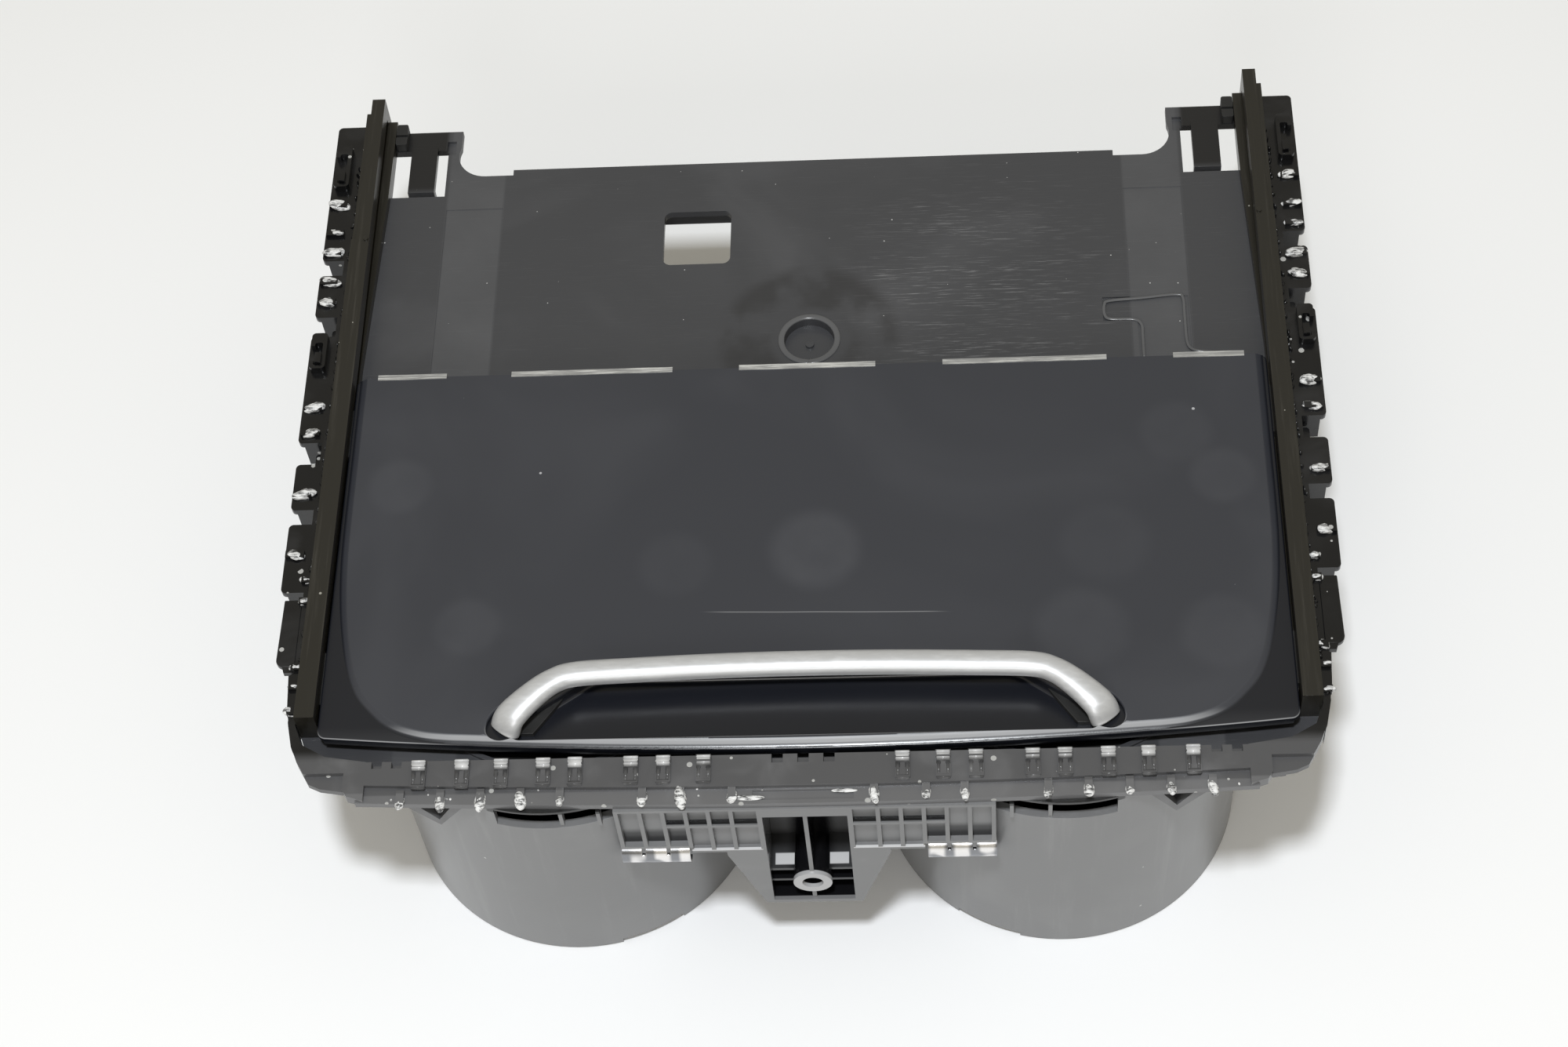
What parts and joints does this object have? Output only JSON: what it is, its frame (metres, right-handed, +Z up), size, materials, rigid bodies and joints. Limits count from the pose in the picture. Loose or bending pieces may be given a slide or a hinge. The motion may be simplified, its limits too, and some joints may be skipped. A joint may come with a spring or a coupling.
{
  "type": "car cup holder",
  "caption": "Console cup holder: two tapered wells in a moulded frame under a flat lid with a bar handle that slides back on side rails.",
  "frame": {"origin": "middle of the overall box, on the plane of the wells' feet", "axes": "+X to the right across the two wells, +Y to the rear along the rails, +Z up"},
  "size_m": [0.2518, 0.2128, 0.0819],
  "materials": {
    "gloss_black": "glossy moulded",
    "plate_grey": "satin moulded",
    "rail_brown": "satin moulded",
    "well_grey": "satin moulded",
    "mat_rubber": "matt",
    "flap_black": "fine grain",
    "steel": "drawn",
    "bright_clip": "bright",
    "lid_satin": "soft satin lacquer",
    "carrier_black": "moulded",
    "edge_strip": "pale strip",
    "handle_silver": "satin silver",
    "shoe_pom": "smooth black"
  },
  "bodies": {
    "frame": {"top_frame": "gloss_black", "floor_plate": "plate_grey", "cup_deck": "plate_grey", "guide_rail_left": "rail_brown", "guide_rail_right": "rail_brown", "cup_well_left": "well_grey", "cup_well_right": "well_grey", "cup_mat_left": "mat_rubber", "cup_mat_right": "mat_rubber", "flap_bracket_left": "carrier_black", "flap_bracket_right": "carrier_black", "flap_pin_left": "steel", "flap_pin_right": "steel", "front_bracket": "well_grey", "spring_clip_left": "bright_clip", "spring_clip_right": "bright_clip", "stop_buffer_left": "mat_rubber", "stop_buffer_right": "mat_rubber", "trim_clips": "gloss_black"},
    "lid": {"lid_panel": "lid_satin", "lid_carrier": "carrier_black", "rear_edge_strips": "edge_strip", "handle": "handle_silver", "handle_screws": "steel", "guide_shoe_front_left": "shoe_pom", "guide_shoe_front_right": "shoe_pom", "guide_shoe_rear_left": "shoe_pom", "guide_shoe_rear_right": "shoe_pom"},
    "flap_left": {"grip_flap_left": "flap_black", "flap_spring_left": "steel"},
    "flap_right": {"grip_flap_right": "flap_black", "flap_spring_right": "steel"}
  },
  "joints": [
    {"name": "lid_slide", "type": "slide", "parent": "frame", "child": "lid", "axis": [0, 1, 0], "range_m": [0, 0.088]},
    {"name": "flap_left_swing", "type": "hinge", "parent": "frame", "child": "flap_left", "pos_m": [-0.0586, -0.0982, 0.066], "axis": [-1, 0, 0], "range_deg": [0, 20], "stiffness_Nm_per_rad": 0.05, "springref_deg": -11.46},
    {"name": "flap_right_swing", "type": "hinge", "parent": "frame", "child": "flap_right", "pos_m": [0.0586, -0.0982, 0.066], "axis": [-1, 0, 0], "range_deg": [0, 20], "stiffness_Nm_per_rad": 0.05, "springref_deg": -11.46}
  ]
}
